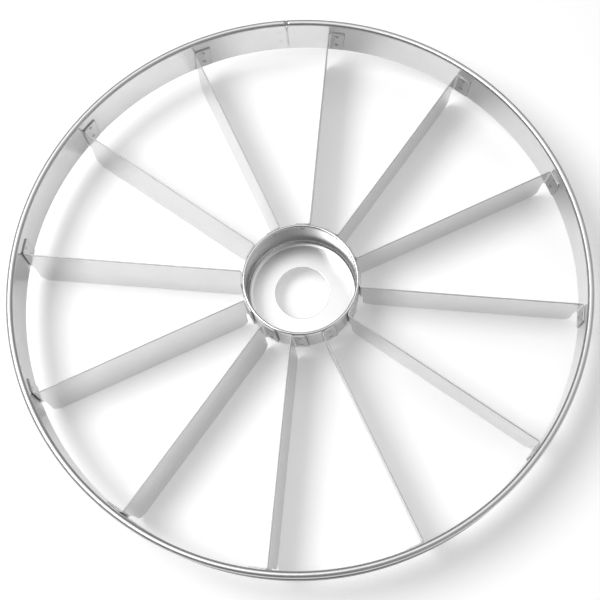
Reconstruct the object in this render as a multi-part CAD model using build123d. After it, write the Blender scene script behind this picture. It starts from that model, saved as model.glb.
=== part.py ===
from build123d import *
from build123d.topology import SkipClean
import os
from math import asin, cos, degrees, radians, sin, sqrt, tan

# Cake portion marker: a rolled sheet-metal ring and a drawn hub cup, joined by blades that stand on edge

# Ring band, with its top edge rolled outward over a wire and its lower edge into a plain curl
outer_diameter = 266.0
ring_sheet = 0.5
ring_height = 22.6
ring_bottom = 14.2
wire_diameter = 2.1
wire_clearance = 0.05
wire_end_gap = 0.6
curl_sweep = 285.0
foot_curl_diameter = 3.2
foot_curl_sweep = 280.0

# Lap seam of the band
seam_angle = 68.4
seam_gap = 0.3
seam_lap = 6.6
seam_clearance = 0.05
seam_root = 1.2
seam_headroom = 1.0

# Hub cup
hub_diameter = 53.9
hub_sheet = 0.5
hub_top = 30.7
hub_bottom = 9.5
hub_corner_radius = 2.8
hub_hole_diameter = 25.7
hub_curl_diameter = 1.5
hub_curl_sweep = 250.0

# Blades
blade_count = 12
blade_sheet = 0.6
blade_height = 30.0
blade_lean = 3.4
blade_corner_radius = 4.5
bend_radius = 0.8
ring_tab_width = 8.0
ring_tab_rise = 1.9
hub_tab_width = 6.8
hub_tab_rise = 0.6
tab_clearance = 0.04

# Spot welds
weld_diameter = 2.2
weld_dent = 0.12
ring_weld_low = 4.6
ring_weld_high = 2.2
hub_weld_low = 4.0
hub_weld_high = 3.4
seam_weld_inset = 3.0

# Sizes that follow from those above
bead_radius = wire_diameter / 2 + wire_clearance + ring_sheet
bead_axis_radius = outer_diameter / 2 - bead_radius
bead_axis_height = ring_bottom + ring_height - bead_radius
ring_bore_radius = bead_axis_radius - bead_radius
ring_wall_radius = ring_bore_radius + ring_sheet
foot_radius = foot_curl_diameter / 2
foot_axis_radius = ring_bore_radius + foot_radius
foot_axis_height = ring_bottom + foot_radius
hub_radius = hub_diameter / 2
hub_curl_radius = hub_curl_diameter / 2
hub_curl_height = hub_top - hub_curl_radius
hub_outer_corner = hub_corner_radius + hub_sheet
weld_radius = weld_diameter / 2
ring_tab_bottom = ring_bottom + ring_tab_rise
hub_tab_bottom = hub_bottom + hub_outer_corner + hub_tab_rise
lean_rate = tan(radians(blade_lean))


def lean_shift(height):
    # sideways place of a blade's middle plane at a height: clockwise as it rises
    return -height * lean_rate


def ring_point(radius, height):
    return (radius, 0, height)


def on_circle(axis_radius, axis_height, radius, angle):
    a = radians(angle)
    return (axis_radius + radius * cos(a), 0, axis_height + radius * sin(a))


def curl_face(axis_radius, axis_height, outer, sheet, start, sweep):
    # open tube section: a sheet rolled round from a start angle
    middle = start + sweep / 2
    end = start + sweep
    inner = outer - sheet
    edges = [
        ThreePointArc(
            on_circle(axis_radius, axis_height, outer, start),
            on_circle(axis_radius, axis_height, outer, middle),
            on_circle(axis_radius, axis_height, outer, end),
        ),
        Line(
            on_circle(axis_radius, axis_height, outer, end),
            on_circle(axis_radius, axis_height, inner, end),
        ),
        ThreePointArc(
            on_circle(axis_radius, axis_height, inner, end),
            on_circle(axis_radius, axis_height, inner, middle),
            on_circle(axis_radius, axis_height, inner, start),
        ),
        Line(
            on_circle(axis_radius, axis_height, inner, start),
            on_circle(axis_radius, axis_height, outer, start),
        ),
    ]
    return make_face(edges)


def strip_face(inner, outer, low, high):
    points = [
        ring_point(inner, low),
        ring_point(outer, low),
        ring_point(outer, high),
        ring_point(inner, high),
    ]
    return make_face(Polyline(points, close=True))


def turned(face, start, sweep):
    # solid of revolution about Z from a start angle
    return Rot(0, 0, start) * revolve(face, axis=Axis.Z, revolution_arc=sweep)


def arc_degrees(length, radius):
    return degrees(length / radius)


# Ring band: its section, and the lap where one end steps outward and lies on the outside of the other
band_wall = strip_face(ring_bore_radius, ring_wall_radius, foot_axis_height, bead_axis_height)
band_curl = curl_face(bead_axis_radius, bead_axis_height, bead_radius, ring_sheet, 180, -curl_sweep)
band_foot = curl_face(foot_axis_radius, foot_axis_height, foot_radius, ring_sheet, 180, foot_curl_sweep)
band_section = band_wall + band_curl + band_foot
lap_inner = ring_wall_radius + seam_clearance
lap_outer = lap_inner + ring_sheet
lap_low = foot_axis_height + foot_radius + seam_headroom
lap_top = bead_axis_height - bead_radius - seam_headroom
gap_turn = arc_degrees(seam_gap, ring_bore_radius)
lap_turn = arc_degrees(seam_lap, ring_bore_radius)
root_turn = arc_degrees(seam_root, ring_bore_radius)
root_start = seam_angle - gap_turn / 2 - root_turn
tongue_section = strip_face(lap_inner, lap_outer, lap_low, lap_top)
step_section = strip_face(ring_bore_radius, lap_outer, lap_low, lap_top)
tongue = turned(tongue_section, root_start, root_turn + gap_turn + lap_turn)
step = turned(step_section, root_start, root_turn)

# Wire inside the rolled edge
wire_turn = arc_degrees(wire_end_gap, bead_axis_radius)
wire_section = Pos(bead_axis_radius, 0, bead_axis_height) * Rot(90, 0, 0) * Circle(wire_diameter / 2)
rim_wire = turned(wire_section, seam_angle + 180 + wire_turn / 2, 360 - wire_turn)

# Hub cup: wall, rounded corner, holed floor and inward rolled rim
hub_inner = hub_radius - hub_sheet
corner_axis = hub_inner - hub_corner_radius
corner_height = hub_bottom + hub_outer_corner
hub_wall = strip_face(hub_inner, hub_radius, corner_height, hub_curl_height)
hub_corner = curl_face(corner_axis, corner_height, hub_outer_corner, hub_sheet, 270, 90)
hub_floor = strip_face(hub_hole_diameter / 2, corner_axis, hub_bottom, hub_bottom + hub_sheet)
hub_rim = curl_face(hub_radius - hub_curl_radius, hub_curl_height, hub_curl_radius, hub_sheet, 0, hub_curl_sweep)
hub_section = hub_wall + hub_corner + hub_floor + hub_rim

# Blade: where its two tabs lie, seen from above, with the blade along +X
ring_tab_middle = (ring_tab_bottom + blade_height) / 2
ring_tab_chord = sqrt((ring_bore_radius - tab_clearance) ** 2 - (ring_tab_width / 2) ** 2)
ring_tab_line = ring_tab_chord - blade_sheet / 2
ring_tab_turn = asin((lean_shift(ring_tab_middle) - ring_tab_width / 2) / ring_tab_line)
hub_tab_middle = (hub_tab_bottom + blade_height) / 2
hub_tab_line = hub_radius + tab_clearance + blade_sheet / 2
hub_tab_turn = asin((lean_shift(hub_tab_middle) + hub_tab_width / 2) / hub_tab_line)


def tab_point(line, turn, middle, across):
    # point on a tab's middle line, in the blade's section at the table
    x = line * cos(turn) - across * sin(turn)
    y = line * sin(turn) + across * cos(turn) - lean_shift(middle)
    return (x, y)


def corner_across(line, turn, middle):
    # distance along a tab's line to where it meets the blade's middle plane
    return (lean_shift(middle) - line * sin(turn)) / cos(turn)


ring_corner_across = corner_across(ring_tab_line, ring_tab_turn, ring_tab_middle)
hub_corner_across = corner_across(hub_tab_line, hub_tab_turn, hub_tab_middle)
hub_end = tab_point(hub_tab_line, hub_tab_turn, hub_tab_middle, hub_corner_across + hub_tab_width)
hub_corner_point = tab_point(hub_tab_line, hub_tab_turn, hub_tab_middle, hub_corner_across)
ring_corner_point = tab_point(ring_tab_line, ring_tab_turn, ring_tab_middle, ring_corner_across)
ring_end = tab_point(ring_tab_line, ring_tab_turn, ring_tab_middle, ring_corner_across - ring_tab_width)
blade_path = FilletPolyline(hub_end, hub_corner_point, ring_corner_point, ring_end, radius=bend_radius + blade_sheet / 2)
blade_section = trace(blade_path, line_width=blade_sheet)
blade_rise = Vector(0, -lean_rate, 1)
blade_sheet_solid = extrude(blade_section, amount=blade_height * blade_rise.length, dir=blade_rise)

# Side view of a blade: tabs only beside the ring and the hub, lower corners rounded
outer_end = ring_corner_point[0] - bend_radius - blade_sheet
inner_end = hub_corner_point[0] + bend_radius + blade_sheet
side_points = [
    (0, blade_height),
    (outer_diameter / 2, blade_height),
    (outer_diameter / 2, ring_tab_bottom),
    (outer_end, ring_tab_bottom),
    (outer_end, 0),
    (inner_end, 0),
    (inner_end, hub_tab_bottom),
    (0, hub_tab_bottom),
]
side_view = make_face(Polyline(side_points, close=True))
low_corners = side_view.vertices().group_by(Axis.Y)[0]
side_view = fillet(low_corners, blade_corner_radius)
side_depth = ring_tab_width + hub_tab_width + blade_height
side_block = extrude(Plane.XZ * side_view, amount=side_depth, both=True)
blade_blank = blade_sheet_solid & side_block


def weld(start, end, turn, height, shift):
    # round weld along a radius, from a start to an end distance off the axis
    middle = (start + end) / 2
    place = Pos(middle * cos(turn), middle * sin(turn) + shift, height) * Rot(0, 0, degrees(turn)) * Rot(0, 90, 0)
    return place * Cylinder(weld_radius, end - start)


# Welds of one blade: through each tab and the wall it lies on, faces sunk as dents
ring_weld_heights = [ring_tab_bottom + ring_weld_low, blade_height - ring_weld_high]
hub_weld_heights = [hub_tab_bottom + hub_weld_low, blade_height - hub_weld_high]
ring_tab_face = ring_tab_chord - blade_sheet
hub_tab_face = hub_radius + tab_clearance + blade_sheet


def ring_weld(height, sink):
    shift = lean_shift(height) - lean_shift(ring_tab_middle)
    return weld(ring_tab_face + sink, ring_wall_radius - sink, ring_tab_turn, height, shift)


def hub_weld(height, sink):
    shift = lean_shift(height) - lean_shift(hub_tab_middle)
    return weld(hub_inner + sink, hub_tab_face - sink, hub_tab_turn, height, shift)


blade_ring_welds = [ring_weld(h, weld_dent) for h in ring_weld_heights]
blade_ring_holes = [ring_weld(h, -ring_sheet) for h in ring_weld_heights]
blade_hub_welds = [hub_weld(h, weld_dent) for h in hub_weld_heights]
blade_hub_holes = [hub_weld(h, -hub_sheet) for h in hub_weld_heights]
blade = blade_blank - blade_ring_holes - blade_hub_holes

# Welds of the lap seam
seam_weld_turn = radians(seam_angle + (gap_turn + lap_turn) / 2)
seam_weld_heights = [lap_low + seam_weld_inset, lap_top - seam_weld_inset]
seam_spot_welds = [
    weld(ring_bore_radius + weld_dent, lap_outer - weld_dent, seam_weld_turn, h, 0) for h in seam_weld_heights
]
seam_holes = [
    weld(ring_bore_radius - ring_sheet, lap_outer + ring_sheet, seam_weld_turn, h, 0) for h in seam_weld_heights
]

# Pattern round the axis
sector_turn = 360 / blade_count
blade_turns = [Rot(0, 0, sector_turn * i) for i in range(blade_count)]
blades = [turn * blade for turn in blade_turns]
ring_spot_welds = [turn * w for turn in blade_turns for w in blade_ring_welds]
hub_spot_welds = [turn * w for turn in blade_turns for w in blade_hub_welds]
ring_holes = [turn * h for turn in blade_turns for h in blade_ring_holes]
hub_sector = turned(hub_section, degrees(hub_tab_turn) - sector_turn / 2, sector_turn) - blade_hub_holes
band_turn = (360 - gap_turn) / blade_count
band_start = seam_angle + gap_turn / 2
band_sectors = [turned(band_section, band_start + band_turn * i, band_turn) for i in range(blade_count)]

# Ring and hub closed from sectors, whose faces stay separate
with SkipClean():
    hub_cup = Part() + [turn * hub_sector for turn in blade_turns]
    rim_band = Part() + band_sectors + [tongue, step] - ring_holes - seam_holes

# One file for each named piece
nodes = {
    "rim_band": rim_band,
    "rim_wire": rim_wire,
    "hub_cup": hub_cup,
    "ring_spot_welds": Compound(children=ring_spot_welds),
    "hub_spot_welds": Compound(children=hub_spot_welds),
    "seam_spot_welds": Compound(children=seam_spot_welds),
}
for number, one_blade in enumerate(blades, start=1):
    nodes[f"blade_{number:02d}"] = one_blade

os.makedirs("parts", exist_ok=True)
for name, piece in nodes.items():
    export_step(piece, f"parts/{name}.step")
    print(name, len(piece.solids()), round(piece.volume, 2), piece.is_valid)
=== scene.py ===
import math
from collections import namedtuple

import bpy
from mathutils import Matrix, Vector
from mathutils.geometry import delaunay_2d_cdt


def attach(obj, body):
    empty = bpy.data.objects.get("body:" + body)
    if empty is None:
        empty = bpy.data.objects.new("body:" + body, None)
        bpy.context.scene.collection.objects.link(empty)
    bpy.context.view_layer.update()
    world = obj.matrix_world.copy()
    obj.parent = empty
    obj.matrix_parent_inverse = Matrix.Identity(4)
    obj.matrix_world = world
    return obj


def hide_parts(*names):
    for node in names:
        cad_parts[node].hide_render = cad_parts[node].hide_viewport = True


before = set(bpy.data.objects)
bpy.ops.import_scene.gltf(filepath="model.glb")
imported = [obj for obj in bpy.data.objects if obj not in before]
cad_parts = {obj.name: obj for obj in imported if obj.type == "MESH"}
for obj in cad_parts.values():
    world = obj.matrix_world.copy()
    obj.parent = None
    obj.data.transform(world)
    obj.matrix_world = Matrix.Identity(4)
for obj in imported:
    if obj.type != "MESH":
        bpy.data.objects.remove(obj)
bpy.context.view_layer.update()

scene = bpy.context.scene
scene.view_settings.view_transform = "Standard"
MM = 0.001

# Sizes of the marker in millimetres and degrees, as in the part.
# Ring band: a wall with a bead rolled outward on top and a foot rolled outward below
OUTER_R = 133.0
RING_SHEET = 0.5
RING_TOP = 36.8
RING_BOTTOM = 14.2
BEAD_R = 1.6
FOOT_R = 1.6
BEAD_ROLL_END = -105
FOOT_ROLL_START = 460
BORE_R = OUTER_R - 2 * BEAD_R
WALL_R = BORE_R + RING_SHEET
BEAD_Z = RING_TOP - BEAD_R
FOOT_Z = RING_BOTTOM + FOOT_R

# Lap seam, outside the wall
SEAM_ANGLE = 68.4
SEAM_GAP = 0.3
SEAM_LAP = 6.6
SEAM_ROOT = 1.2
LAP_LOW = FOOT_Z + FOOT_R + 1.0
LAP_TOP = BEAD_Z - BEAD_R - 1.0
LAP_IN = WALL_R + 0.05
LAP_OUT = LAP_IN + RING_SHEET
LAP_SINK = 0.1
SEAM_WELDS = [LAP_LOW + 3.0, LAP_TOP - 3.0]

# Hub cup
HUB_R = 26.95
HUB_SHEET = 0.5
HUB_TOP = 30.7
HUB_BOTTOM = 9.5
HUB_CORNER = 2.8
HUB_HOLE_R = 12.85
HUB_CURL_R = 0.75
HUB_CURL_END = 250

# Blades: strips on edge, leaning a little, a tab at each end
BLADES = 12
SHEET = 0.6
HALF = SHEET / 2
HEIGHT = 30.0
LEAN = math.tan(math.radians(3.4))
LOW_CORNER = 4.5
TAB_CORNER = 0.6
BEND = 0.8
RING_TAB = 8.0
RING_TAB_Z = RING_BOTTOM + 1.9
HUB_TAB = 6.8
HUB_TAB_Z = HUB_BOTTOM + HUB_CORNER + HUB_SHEET + 0.6
TAB_GAP = 0.04
RING_WELDS = [RING_TAB_Z + 4.6, HEIGHT - 2.2]
HUB_WELDS = [HUB_TAB_Z + 4.0, HEIGHT - 3.4]

# Fine forms that only the visual model has
EDGE = 0.12                 # broken ends of the ring's and the hub's sheet
END_STEP = 0.25             # close mesh step at the ends of a straight run
RIM_INSET = HALF + 0.15     # start of a blade's flat face, inside its rounded edge
RING_SWELL = 0.05
RING_WAVES = [(7, 0.6, 0.02), (11, 2.0, 0.02), (29, 0.0, 0.01)]   # count, start, height
BLADE_BOW = 0.10
BLADE_WAVE = 0.05
BOW_LOW = 0.4               # share of the bow at a blade's lower edge
TOUCH = 0.1                 # a point this near counts as on a face or an edge

# Spot welds: radius from the weld's middle and depth below, or height above, the sheet
DENT = [(0.0, 0.12), (0.55, 0.12), (0.8, 0.10), (1.0, 0.05), (1.12, 0.0), (1.25, -0.02), (1.45, 0.0)]
DISH = [(0, 0.10), (0.5, 0.10), (0.78, 0.085), (0.98, 0.045), (1.03, 0.06), (1.0, 0.2)]
BUTTON = [(1.0, -0.1), (1.1, 0.0), (1.08, 0.02), (0.95, 0.028), (0.7, 0.008), (0, 0.006)]

# Mesh steps
RING_STEPS, HUB_STEPS = 540, 360
BEND_STEPS, PLATE_STEPS = 8, 18
DENT_SIDES, STUD_SIDES = 28, 24
PLATE_ROWS = (6.0, 12.0, 18.0, 24.0)
EDGE_ANGLES = (90, 65, 40, 15, -15, -40, -65, -90)

# Marks on the steel, 0 to 1: wear makes it duller, painted shade makes it darker where shade falls
ROLL_WEAR, CUP_FLOOR_WEAR, CUT_WEAR = 0.6, 0.4, 1.0
# painted shade: how much darker the foot roll's outside, the cup's outer wall and the blades' tabs
# are drawn
FOOT_PAINTED_SHADE, CUP_PAINTED_SHADE, TAB_PAINTED_SHADE = 0.28, 0.2, 0.08
TAB_EDGE_PAINTED_SHADE = 1.5 * TAB_PAINTED_SHADE


def placed(x, y, z, at):
    # matrix of an object with these axes at this point
    rows = [(x[i], y[i], z[i], at[i]) for i in range(3)]
    return Matrix(rows + [(0, 0, 0, 1)])


# Camera: the photograph's viewing point, metres
EYE = Vector((-0.045015, -0.148608, 0.478886))
RIGHT = Vector((0.904074, -0.427324, -0.006602))
UP = Vector((0.408463, 0.859418, 0.307504))
BACK = Vector((-0.125730, -0.280703, 0.951524))
cam_data = bpy.data.cameras.new("camera")
cam_data.sensor_width = 36.0
cam_data.lens = 62.132
cam_data.shift_x = -0.0732
cam_data.shift_y = -0.0056
cam_data.clip_start = 0.01
cam_data.clip_end = 20.0
cam = bpy.data.objects.new("camera", cam_data)
scene.collection.objects.link(cam)
cam.matrix_world = placed(RIGHT, UP, BACK, EYE)
scene.camera = cam

# Light: azimuths are counted from the picture's right, seen from above
VIEW_TURN = math.radians(24.128)


def direction(azimuth, zenith):
    a = math.radians(azimuth) - VIEW_TURN
    z = math.radians(zenith)
    return Vector((math.sin(z) * math.cos(a), math.sin(z) * math.sin(a), math.cos(z)))


def soft_box(name, azimuth, zenith, distance, width, length, power):
    # an oval lamp that faces the marker, its long side toward the picture's top
    data = bpy.data.lights.new(name, "AREA")
    data.shape = "ELLIPSE"
    data.size = width
    data.size_y = length
    data.energy = power
    obj = bpy.data.objects.new(name, data)
    scene.collection.objects.link(obj)
    z = direction(azimuth, zenith)
    far = direction(90, 90)
    y = (far - far.dot(z) * z).normalized()
    obj.matrix_world = placed(y.cross(z), y, z, z * distance)


soft_box("key_light", azimuth=178, zenith=28, distance=0.80, width=0.38, length=0.50, power=3.6)

# Sky: levels by the cosine of the angle from one direction
SKY_GLOW = [(0.0, 0.07), (0.5, 0.12), (0.75, 0.24), (0.88, 0.6), (0.95, 1.1), (1.0, 1.2)]
SKY_FILL = [(0.0, 0.0), (0.5, 0.02), (0.8, 0.28), (1.0, 0.38)]
SKY_SHADE = [(0.0, 1.0), (0.90, 1.0), (0.965, 0.35), (1.0, 0.28)]

world = bpy.data.worlds.new("studio")
scene.world = world
world.use_nodes = True
sky_nodes, sky_links = world.node_tree.nodes, world.node_tree.links
sky_place = sky_nodes.new("ShaderNodeTexCoord")


def sky_part(azimuth, zenith, stops):
    dot = sky_nodes.new("ShaderNodeVectorMath")
    dot.operation = "DOT_PRODUCT"
    dot.inputs[1].default_value = direction(azimuth, zenith)
    sky_links.new(sky_place.outputs["Generated"], dot.inputs[0])
    ramp = sky_nodes.new("ShaderNodeValToRGB")
    sky_links.new(dot.outputs["Value"], ramp.inputs[0])
    elements = ramp.color_ramp.elements
    elements.remove(elements[1])
    for i, (place, level) in enumerate(stops):
        e = elements[0] if i == 0 else elements.new(place)
        e.position = place
        e.color = (level, level, level, 1)
    return ramp.outputs[0]


def sky_join(operation, a, b):
    node = sky_nodes.new("ShaderNodeVectorMath")
    node.operation = operation
    sky_links.new(a, node.inputs[0])
    sky_links.new(b, node.inputs[1])
    return node.outputs[0]


sky = sky_join("ADD", sky_part(97, 18, SKY_GLOW), sky_part(340, 50, SKY_FILL))
# darker by the camera, where someone would stand
sky = sky_join("MULTIPLY", sky, sky_part(277, 20, SKY_SHADE))
sky_links.new(sky, sky_nodes["Background"].inputs["Color"])


# Materials
TONE_SPREAD, ROUGH_SPREAD = 0.05, 0.06
WEAR_TONE, WEAR_ROUGH = -0.06, 0.3
CLOUD_SCALE = 60.0
GRAIN_STRENGTH, GRAIN_DEPTH = 0.10, 0.00002


def steel(name, tone, rough, grain):
    # satin metal: a fine grain along one direction, faint clouding, the mesh's wear mark, and
    # painted shade from the mesh's painted shade mark
    m = bpy.data.materials.new(name)
    m.use_nodes = True
    nodes, links = m.node_tree.nodes, m.node_tree.links
    shader = nodes["Principled BSDF"]
    shader.inputs["Metallic"].default_value = 1.0
    coord = nodes.new("ShaderNodeTexCoord")

    def noise(place, scale, detail):
        node = nodes.new("ShaderNodeTexNoise")
        node.inputs["Scale"].default_value = scale
        node.inputs["Detail"].default_value = detail
        links.new(place, node.inputs["Vector"])
        return node.outputs[0]

    def around(value, middle, spread):
        node = nodes.new("ShaderNodeMapRange")
        node.inputs["To Min"].default_value = middle - spread
        node.inputs["To Max"].default_value = middle + spread
        links.new(value, node.inputs[0])
        return node.outputs[0]

    def mark(attribute):
        node = nodes.new("ShaderNodeAttribute")
        node.attribute_name = attribute
        return node.outputs["Fac"]

    stretch = nodes.new("ShaderNodeMapping")
    stretch.inputs["Scale"].default_value = grain
    links.new(coord.outputs["Object"], stretch.inputs["Vector"])
    fine = noise(stretch.outputs[0], 1.0, 3.0)
    cloud = noise(coord.outputs["Object"], CLOUD_SCALE, 4.0)
    worn = mark("cut_edge")

    def with_wear(value, change):
        node = nodes.new("ShaderNodeMath")
        node.operation = "MULTIPLY_ADD"
        node.inputs[1].default_value = change
        links.new(worn, node.inputs[0])
        links.new(value, node.inputs[2])
        return node.outputs[0]

    # painted shade: the colour is darkened by the mesh's painted shade mark
    stained = nodes.new("ShaderNodeMath")
    stained.operation = "SUBTRACT"
    links.new(with_wear(around(cloud, tone, TONE_SPREAD), WEAR_TONE), stained.inputs[0])
    links.new(mark("stain"), stained.inputs[1])
    links.new(stained.outputs[0], shader.inputs["Base Color"])
    links.new(with_wear(around(fine, rough, ROUGH_SPREAD), WEAR_ROUGH), shader.inputs["Roughness"])
    bump = nodes.new("ShaderNodeBump")
    bump.inputs["Strength"].default_value = GRAIN_STRENGTH
    bump.inputs["Distance"].default_value = GRAIN_DEPTH
    links.new(fine, bump.inputs["Height"])
    links.new(bump.outputs[0], shader.inputs["Normal"])
    return m


RING_STEEL = steel("ring_steel", 0.69, 0.22, (300, 300, 3000))
HUB_STEEL = steel("hub_steel", 0.76, 0.22, (1500, 1500, 60))
BLADE_STEEL = steel("blade_steel", 0.70, 0.25, (150, 3000, 3000))
WELD_STEEL = steel("weld_steel", 0.42, 0.42, (2500, 2500, 2500))
WIRE_STEEL = steel("wire_steel", 0.70, 0.25, (2000, 2000, 2000))


# Mesh helpers, millimetres
def piece(name, verts, faces, node, slot, material, turn=0.0, **marks):
    mesh = bpy.data.meshes.new(name)
    mesh.from_pydata([(x * MM, y * MM, z * MM) for x, y, z in verts], [], faces)
    mesh.shade_smooth()
    for mark, values in marks.items():
        mesh.attributes.new(mark, "FLOAT", "POINT").data.foreach_set("value", values)
    mesh.materials.append(material)
    obj = bpy.data.objects.new(name, mesh)
    scene.collection.objects.link(obj)
    obj.rotation_euler.z = turn
    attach(obj, "root")
    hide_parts(node)
    return obj


def marked(verts, value, test):
    # the mark's value at each point: full where the test of radius and height holds
    return [value if test(math.hypot(x, y), z) else 0.0 for x, y, z in verts]


def span(start, length, count):
    return [start + length * i / count for i in range(count + 1)]


def run_line(p, q, steps):
    # even steps, with a close one at each end so that the shading stays flat between
    p, q = Vector(p), Vector(q)
    d = (q - p).normalized()
    near = END_STEP / (q - p).length
    shares = [0.0, near] + [i / steps for i in range(1, steps)] + [1 - near, 1.0]
    return [(p.lerp(q, t), d) for t in shares]


def run_arc(centre, radius, start, end, steps):
    out = []
    side = 1 if end > start else -1
    for i in range(steps + 1):
        a = math.radians(start + (end - start) * i / steps)
        n = Vector((math.cos(a), math.sin(a)))
        out.append((Vector(centre) + radius * n, side * Vector((-n.y, n.x))))
    return out


def sheet_loop(runs, thick):
    # outline of a sheet that follows a middle line, its two ends broken
    line = []
    for run in runs:
        line += run if not line else run[1:]
    half = thick / 2
    right = [p + half * Vector((d.y, -d.x)) for p, d in line]
    left = [p - half * Vector((d.y, -d.x)) for p, d in line]
    (p0, d0), (p1, d1) = line[0], line[-1]
    n0, n1 = Vector((d0.y, -d0.x)), Vector((d1.y, -d1.x))
    right[0] = right[0] + d0 * EDGE
    left[0] = left[0] + d0 * EDGE
    right[-1] = right[-1] - d1 * EDGE
    left[-1] = left[-1] - d1 * EDGE
    end = [p1 + n1 * (half - EDGE), p1 - n1 * (half - EDGE)]
    start = [p0 - n0 * (half - EDGE), p0 + n0 * (half - EDGE)]
    return right + end + left[::-1] + start


def bar_loop(inner, outer, low, high):
    e = EDGE
    return [(inner + e, low), (outer - e, low), (outer, low + e), (outer, high - e),
            (outer - e, high), (inner + e, high), (inner, high - e), (inner, low + e)]


def lathe(loop, angles, closed, shape=None):
    n = len(loop)
    verts, faces = [], []
    for a in angles:
        for r, z in loop:
            q = r + (shape(a, r, z) if shape else 0.0)
            verts.append((q * math.cos(a), q * math.sin(a), z))
    m = len(angles)
    for i in range(m if closed else m - 1):
        j = (i + 1) % m
        for k in range(n):
            h = (k + 1) % n
            faces.append((i * n + k, j * n + k, j * n + h, i * n + h))
    if not closed:
        faces.append(tuple(range(n)))
        faces.append(tuple((m - 1) * n + k for k in reversed(range(n))))
    return verts, faces


def merged(groups):
    verts, faces = [], []
    for v, f in groups:
        base = len(verts)
        verts += v
        faces += [tuple(i + base for i in face) for face in f]
    return verts, faces


# Ring band: both edges rolled outward, lap seam outside
ring_mid = BORE_R + RING_SHEET / 2
ring_loop = sheet_loop([
    run_arc((BORE_R + FOOT_R, FOOT_Z), FOOT_R - RING_SHEET / 2, FOOT_ROLL_START, 180, 30),
    run_line((ring_mid, FOOT_Z), (ring_mid, BEAD_Z), 12),
    run_arc((BORE_R + BEAD_R, BEAD_Z), BEAD_R - RING_SHEET / 2, 180, BEAD_ROLL_END, 36),
], RING_SHEET)


def ring_wave(a, r, z):
    # the plain wall between the rolls is not perfectly round
    t = (z - FOOT_Z) / (BEAD_Z - FOOT_Z)
    if t <= 0 or t >= 1 or r > WALL_R + TOUCH:
        return 0.0
    out = RING_SWELL
    for number, start, height in RING_WAVES:
        out += height * math.sin(number * a + start)
    return math.sin(math.pi * t) ** 2 * out


seam = math.radians(SEAM_ANGLE)
gap, lap, root = (length / BORE_R for length in (SEAM_GAP, SEAM_LAP, SEAM_ROOT))
ring_angles = span(seam + gap / 2, 2 * math.pi - gap, RING_STEPS)
lap_start = seam - gap / 2 - root
lap_loop = bar_loop(LAP_IN, LAP_OUT, LAP_LOW, LAP_TOP)
root_loop = bar_loop(WALL_R - LAP_SINK, LAP_OUT, LAP_LOW, LAP_TOP)
band_verts, band_faces = merged([
    lathe(ring_loop, ring_angles, False, ring_wave),
    lathe(lap_loop, span(lap_start, root + gap + lap, 14), False),
    lathe(root_loop, span(lap_start, root, 3), False),
])
rolled = marked(band_verts, ROLL_WEAR,
                lambda r, z: z > BEAD_Z or z < FOOT_Z or r > LAP_OUT + TOUCH)
# painted shade: the outside of the foot roll drawn darker
foot_painted_shade = marked(band_verts, FOOT_PAINTED_SHADE,
                   lambda r, z: z < FOOT_Z + FOOT_R and r > WALL_R + TOUCH)
piece("ring_band", band_verts, band_faces, "rim_band", "ring_sheet", RING_STEEL,
      cut_edge=rolled, stain=foot_painted_shade)

# Hub cup
corner_axis = HUB_R - HUB_SHEET - HUB_CORNER
corner_z = HUB_BOTTOM + HUB_CORNER + HUB_SHEET
hub_mid = HUB_R - HUB_SHEET / 2
floor_mid = HUB_BOTTOM + HUB_SHEET / 2
curl_z = HUB_TOP - HUB_CURL_R
hub_loop = sheet_loop([
    run_line((HUB_HOLE_R, floor_mid), (corner_axis, floor_mid), 8),
    run_arc((corner_axis, corner_z), HUB_CORNER + HUB_SHEET / 2, 270, 360, 12),
    run_line((hub_mid, corner_z), (hub_mid, curl_z), 8),
    run_arc((HUB_R - HUB_CURL_R, curl_z), HUB_CURL_R - HUB_SHEET / 2, 0, HUB_CURL_END, 24),
], HUB_SHEET)
hub_angles = span(0.0, 2 * math.pi, HUB_STEPS)[:-1]
cup_verts, cup_faces = lathe(hub_loop, hub_angles, True)
# painted shade: the cup's outer wall below the curl drawn darker
cup_painted_shade = marked(cup_verts, CUP_PAINTED_SHADE,
                  lambda r, z: r > HUB_R - 2 * TOUCH and z < HUB_TOP - 2 * HUB_CURL_R)
cup_worn = marked(cup_verts, CUP_FLOOR_WEAR, lambda r, z: z < HUB_BOTTOM + 2 * HUB_SHEET)
piece("cup", cup_verts, cup_faces, "hub_cup", "hub_sheet", HUB_STEEL,
      stain=cup_painted_shade, cut_edge=cup_worn)


# Blade: middle line seen from above, along +X
def lean_shift(z):
    return -z * LEAN


ring_mid_z = (RING_TAB_Z + HEIGHT) / 2
hub_mid_z = (HUB_TAB_Z + HEIGHT) / 2
ring_chord = math.sqrt((BORE_R - TAB_GAP) ** 2 - (RING_TAB / 2) ** 2)
ring_line = ring_chord - HALF
ring_turn = math.asin((lean_shift(ring_mid_z) - RING_TAB / 2) / ring_line)
hub_line = HUB_R + TAB_GAP + HALF
hub_turn = math.asin((lean_shift(hub_mid_z) + HUB_TAB / 2) / hub_line)


def tab_point(line, turn, middle, across):
    return Vector((line * math.cos(turn) - across * math.sin(turn),
                   line * math.sin(turn) + across * math.cos(turn) - lean_shift(middle)))


ring_across = (lean_shift(ring_mid_z) - ring_line * math.sin(ring_turn)) / math.cos(ring_turn)
hub_across = (lean_shift(hub_mid_z) - hub_line * math.sin(hub_turn)) / math.cos(hub_turn)
corners = [
    tab_point(hub_line, hub_turn, hub_mid_z, hub_across + HUB_TAB),
    tab_point(hub_line, hub_turn, hub_mid_z, hub_across),
    tab_point(ring_line, ring_turn, ring_mid_z, ring_across),
    tab_point(ring_line, ring_turn, ring_mid_z, ring_across - RING_TAB),
]

Line = namedtuple("Line", "start length origin heading")
Arc = namedtuple("Arc", "start length centre angle side radius")


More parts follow.
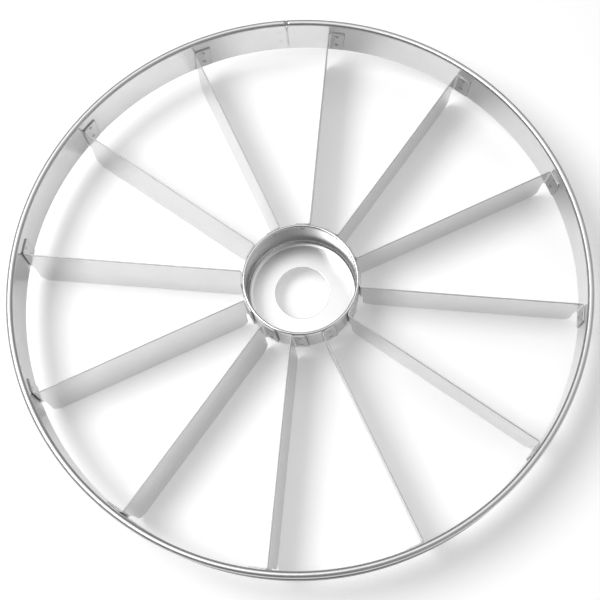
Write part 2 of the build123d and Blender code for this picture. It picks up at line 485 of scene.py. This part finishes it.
class Path:
    # lines and arcs laid end to end, with places given by the distance along them
    def __init__(self, points, radius):
        self.parts = []
        self.length = 0.0
        at = points[0]
        for i in range(1, len(points) - 1):
            d0 = (points[i] - points[i - 1]).normalized()
            d1 = (points[i + 1] - points[i]).normalized()
            turn = math.atan2(d0.x * d1.y - d0.y * d1.x, d0.dot(d1))
            cut = radius * math.tan(abs(turn) / 2)
            self.add_line(at, points[i] - d0 * cut)
            side = 1 if turn > 0 else -1
            n = Vector((-d0.y, d0.x)) * side
            centre = points[i] - d0 * cut + n * radius
            length = abs(turn) * radius
            self.parts.append(
                Arc(self.length, length, centre, math.atan2(-n.y, -n.x), side, radius))
            self.length += length
            at = points[i] + d1 * cut
        self.add_line(at, points[-1])

    def add_line(self, p, q):
        self.parts.append(Line(self.length, (q - p).length, p, (q - p).normalized()))
        self.length += (q - p).length

    def at(self, u):
        # the point and the sideways direction there
        for part in self.parts:
            if u <= part.start + part.length + 1e-9:
                break
        s = u - part.start
        if isinstance(part, Line):
            d = part.heading
            return part.origin + d * s, Vector((-d.y, d.x))
        a = part.angle + part.side * s / part.radius
        out = Vector((math.cos(a), math.sin(a)))
        return part.centre + out * part.radius, -out * part.side


path = Path(corners, BEND + HALF)
U = path.length
_, hub_bend, plate, ring_bend, _ = path.parts
hub_end, ring_end = hub_bend.start, ring_bend.start + ring_bend.length
u_in = plate.start + (corners[1].x + BEND + SHEET - plate.origin.x)
u_out = plate.start + (corners[2].x - BEND - SHEET - plate.origin.x)
u_first, u_last = u_in + LOW_CORNER, u_out - LOW_CORNER
u_hub_weld = hub_across + HUB_TAB
u_ring_weld = U - (RING_TAB - ring_across)
dents = [(u_hub_weld, z, 1) for z in HUB_WELDS] + [(u_ring_weld, z, -1) for z in RING_WELDS]


def dent_depth(r):
    # pressed mark of a spot weld: flat bottom, soft slope, faint lip
    for (r0, d0), (r1, d1) in zip(DENT, DENT[1:]):
        if r <= r1:
            return d0 + (d1 - d0) * (r - r0) / (r1 - r0)
    return 0.0


def blade_outline():
    # flat pattern of a blade: distance along the middle line, height
    lines = span(u_first, u_last - u_first, PLATE_STEPS)
    for bend in (hub_bend, ring_bend):
        lines += span(bend.start, bend.length, BEND_STEPS)
        lines += [bend.start - 0.3, bend.start + bend.length + 0.2]
    lines = sorted(set(round(u, 6) for u in lines))
    pts = []

    def corner(cu, cz, radius, start, steps):
        for i in range(steps + 1):
            a = math.radians(start + 90 * i / steps)
            pts.append((cu + radius * math.cos(a), cz + radius * math.sin(a)))

    def along(u0, u1, z):
        inside = [u for u in lines if min(u0, u1) + 0.01 < u < max(u0, u1) - 0.01]
        pts.extend((u, z) for u in sorted(inside, reverse=u1 < u0))

    k = TAB_CORNER
    corner(k, HUB_TAB_Z + k, k, 180, 4)
    along(k, u_in, HUB_TAB_Z)
    pts.append((u_in, HUB_TAB_Z))
    pts.append((u_in, (HUB_TAB_Z + LOW_CORNER) / 2))
    corner(u_first, LOW_CORNER, LOW_CORNER, 180, 8)
    along(u_first, u_last, 0.0)
    corner(u_last, LOW_CORNER, LOW_CORNER, 270, 8)
    pts.append((u_out, (RING_TAB_Z + LOW_CORNER) / 2))
    pts.append((u_out, RING_TAB_Z))
    along(u_out, U - k, RING_TAB_Z)
    corner(U - k, RING_TAB_Z + k, k, 270, 4)
    corner(U - k, HEIGHT - k, k, 0, 4)
    along(U - k, k, HEIGHT)
    corner(k, HEIGHT - k, k, 90, 4)
    return pts, lines


def inset(pts, amount):
    out = []
    n = len(pts)
    for i in range(n):
        p, q, r = Vector(pts[i - 1]), Vector(pts[i]), Vector(pts[(i + 1) % n])
        d0, d1 = (q - p).normalized(), (r - q).normalized()
        n0, n1 = Vector((-d0.y, d0.x)), Vector((-d1.y, d1.x))
        bis = (n0 + n1).normalized()
        out.append(q + bis * (amount / max(bis.dot(n0), 0.3)))
    return out


outline, line_us = blade_outline()
count = len(outline)
# rounded edge of the sheet: rows from one face over to the other
edge_rows = [(inset(outline, HALF * (1 - math.cos(a))), HALF * math.sin(a))
             for a in map(math.radians, EDGE_ANGLES)]

# flat face: the outline, the bend lines, the rings of each dent and points on the plate
flat = inset(outline, RIM_INSET)
ties = [(i, (i + 1) % count) for i in range(count)]
for u in line_us:
    match = [i for i in range(count) if abs(outline[i][0] - u) < 1e-5]
    if len(match) == 2:
        ties.append(tuple(match))
for cu, cz, _ in dents:
    flat.append(Vector((cu, cz)))
    for r, _ in DENT[1:]:
        base = len(flat)
        for a in span(0.0, 2 * math.pi, DENT_SIDES)[:-1]:
            flat.append(Vector((cu + r * math.cos(a), cz + r * math.sin(a))))
        ties += [(base + i, base + (i + 1) % DENT_SIDES) for i in range(DENT_SIDES)]
for u in line_us:
    if u_first - 0.01 <= u <= u_last + 0.01:
        flat += [Vector((u, z)) for z in PLATE_ROWS]
cdt = delaunay_2d_cdt(flat, ties, [list(range(count))], 1, 1e-5)
flat_verts, flat_faces, flat_origin = cdt[0], cdt[2], cdt[3]
rim_index = {s: i for i, sources in enumerate(flat_origin) for s in sources if s < count}


def on_tab(u):
    return u < hub_end or u > ring_end


def blade_mesh(number):
    # each blade is bowed a little in its own way
    bow = BLADE_BOW * math.sin(2.4 * number + 0.5)
    wave = BLADE_WAVE * math.sin(4.1 * number + 1.0)

    def place(u, z, off):
        p, n = path.at(min(max(u, 0.0), U))
        t = (u - plate.start) / plate.length
        sway = 0.0
        if 0 < t < 1:
            sway = math.sin(math.pi * t) ** 2 * (bow + wave * math.sin(2 * math.pi * t))
            sway *= BOW_LOW + (1 - BOW_LOW) * z / HEIGHT
        return (p.x + n.x * off, p.y + n.y * off + lean_shift(z) + sway, z)

    def depth(u, z, side):
        for cu, cz, s in dents:
            r = math.hypot(u - cu, z - cz)
            if s == side and r < DENT[-1][0]:
                return dent_depth(r)
        return 0.0

    verts = [place(v.x, v.y, HALF - depth(v.x, v.y, 1)) for v in flat_verts]
    m = len(verts)
    verts += [place(v.x, v.y, depth(v.x, v.y, -1) - HALF) for v in flat_verts]
    # painted shade: the tabs drawn darker than the blade, their rounded edges darker still
    stain = [TAB_PAINTED_SHADE if on_tab(v.x) else 0.0 for v in flat_verts] * 2
    bands = [[rim_index[i] for i in range(count)]]
    for points, off in edge_rows:
        base = len(verts)
        for (u, z), v in zip(outline, points):
            # the side of a tab that lies on a wall keeps its square corner
            square = off > 0 and u > ring_end or off < 0 and u < hub_end
            verts.append(place(u, z, off) if square else place(v.x, v.y, off))
            stain.append(TAB_EDGE_PAINTED_SHADE if on_tab(u) and z <= HEIGHT - TOUCH else 0.0)
        bands.append(list(range(base, base + count)))
    bands.append([rim_index[i] + m for i in range(count)])
    faces = [tuple(reversed(f)) for f in flat_faces]
    faces += [tuple(i + m for i in f) for f in flat_faces]
    for a, b in zip(bands, bands[1:]):
        for i in range(count):
            j = (i + 1) % count
            faces.append((a[i], a[j], b[j], b[i]))
    worn = [0.0] * (2 * m) + [CUT_WEAR] * (len(verts) - 2 * m)
    return verts, faces, worn, stain


blade_turns = span(0.0, 2 * math.pi, BLADES)[:-1]
for number, turn in enumerate(blade_turns, start=1):
    verts, faces, worn, stain = blade_mesh(number)
    piece(f"blade_{number:02d}_sheet", verts, faces, f"blade_{number:02d}", "blade_sheet",
          BLADE_STEEL, turn, cut_edge=worn, stain=stain)


# Spot welds: dished where they lie in a dent, a flat button with a lip on the far side
def stud(turn, start, side, height, shift, profile):
    # lathe about a radius; depths count from the start, outward or inward
    axis = Vector((math.cos(turn), math.sin(turn), 0)) * side
    across = Vector((-math.sin(turn), math.cos(turn), 0))
    up = Vector((0, 0, 1))
    origin = Vector((start * math.cos(turn), start * math.sin(turn) + shift, height))
    verts, faces, rings = [], [], []
    for r, h in profile:
        base = len(verts)
        if r == 0:
            verts.append(tuple(origin + axis * h))
            rings.append([base])
            continue
        for a in span(0.0, 2 * math.pi, STUD_SIDES)[:-1]:
            out = across * math.cos(a) + up * math.sin(a)
            verts.append(tuple(origin + axis * h + out * r))
        rings.append(list(range(base, base + STUD_SIDES)))
    for a, b in zip(rings, rings[1:]):
        for i in range(STUD_SIDES):
            j = (i + 1) % STUD_SIDES
            quad = [a[i % len(a)], a[j % len(a)], b[j % len(b)], b[i % len(b)]]
            face = tuple(dict.fromkeys(quad))
            faces.append(face if side > 0 else tuple(reversed(face)))
    return verts, faces


def button(total):
    # flat end with a lip, seen on a plain wall
    return [(r, total + h) for r, h in BUTTON]


def turned(group, turn):
    rot = Matrix.Rotation(turn, 3, "Z")
    return [tuple(rot @ Vector(v)) for v in group[0]], group[1]


def tab_studs(turn, start, side, stack, heights, middle):
    # the welds of one kind of tab, on every blade
    studs = []
    for blade_turn in blade_turns:
        for z in heights:
            shift = lean_shift(z) - lean_shift(middle)
            one = stud(turn, start, side, z, shift, DISH + button(stack))
            studs.append(turned(one, blade_turn))
    return merged(studs)


ring_face = ring_chord - SHEET
hub_face = HUB_R + TAB_GAP + SHEET
ring_studs = tab_studs(ring_turn, ring_face, 1, WALL_R - ring_face, RING_WELDS, ring_mid_z)
hub_studs = tab_studs(hub_turn, hub_face, -1, hub_face - (HUB_R - HUB_SHEET), HUB_WELDS, hub_mid_z)
piece("ring_weld_spots", *ring_studs, "ring_spot_welds", "weld_metal", WELD_STEEL)
piece("hub_weld_spots", *hub_studs, "hub_spot_welds", "weld_metal", WELD_STEEL)
lap_stack = LAP_OUT - BORE_R
lap_turn = seam + (gap + lap) / 2
front = [(r, lap_stack - h) for r, h in reversed(button(lap_stack))]
seam_studs = [stud(lap_turn, BORE_R, 1, z, 0.0, front + button(lap_stack)) for z in SEAM_WELDS]
piece("seam_weld_spots", *merged(seam_studs), "seam_spot_welds", "weld_metal", RING_STEEL)

# Wire in the bead: the part's own mesh
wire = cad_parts["rim_wire"]
wire.data.materials.clear()
wire.data.materials.append(WIRE_STEEL)

# Floor, metres: white, lifted a little for what the camera and the metal see
FLOOR_HALF = 6.0
FLOOR_Z = -0.0002
FLOOR_TONE = 0.93
FLOOR_LIFT = 0.25
mesh = bpy.data.meshes.new("floor")
square = [(-1, -1), (1, -1), (1, 1), (-1, 1)]
mesh.from_pydata([(x * FLOOR_HALF, y * FLOOR_HALF, FLOOR_Z) for x, y in square], [], [(0, 1, 2, 3)])
floor = bpy.data.objects.new("floor", mesh)
scene.collection.objects.link(floor)
floor_white = bpy.data.materials.new("floor_white")
floor_white.use_nodes = True
floor_nodes, floor_links = floor_white.node_tree.nodes, floor_white.node_tree.links
shader = floor_nodes["Principled BSDF"]
shader.inputs["Base Color"].default_value = (FLOOR_TONE, FLOOR_TONE, FLOOR_TONE, 1)
shader.inputs["Roughness"].default_value = 0.9
shader.inputs["Specular IOR Level"].default_value = 0.0
shader.inputs["Emission Color"].default_value = (1, 1, 1, 1)
rays = floor_nodes.new("ShaderNodeLightPath")
seen = rays.outputs["Is Camera Ray"]
for kind in ("Is Glossy Ray", "Is Transmission Ray"):
    either = floor_nodes.new("ShaderNodeMath")
    either.operation = "MAXIMUM"
    floor_links.new(seen, either.inputs[0])
    floor_links.new(rays.outputs[kind], either.inputs[1])
    seen = either.outputs[0]
lift = floor_nodes.new("ShaderNodeMath")
lift.operation = "MULTIPLY"
lift.inputs[1].default_value = FLOOR_LIFT
floor_links.new(seen, lift.inputs[0])
floor_links.new(lift.outputs[0], shader.inputs["Emission Strength"])
mesh.materials.append(floor_white)
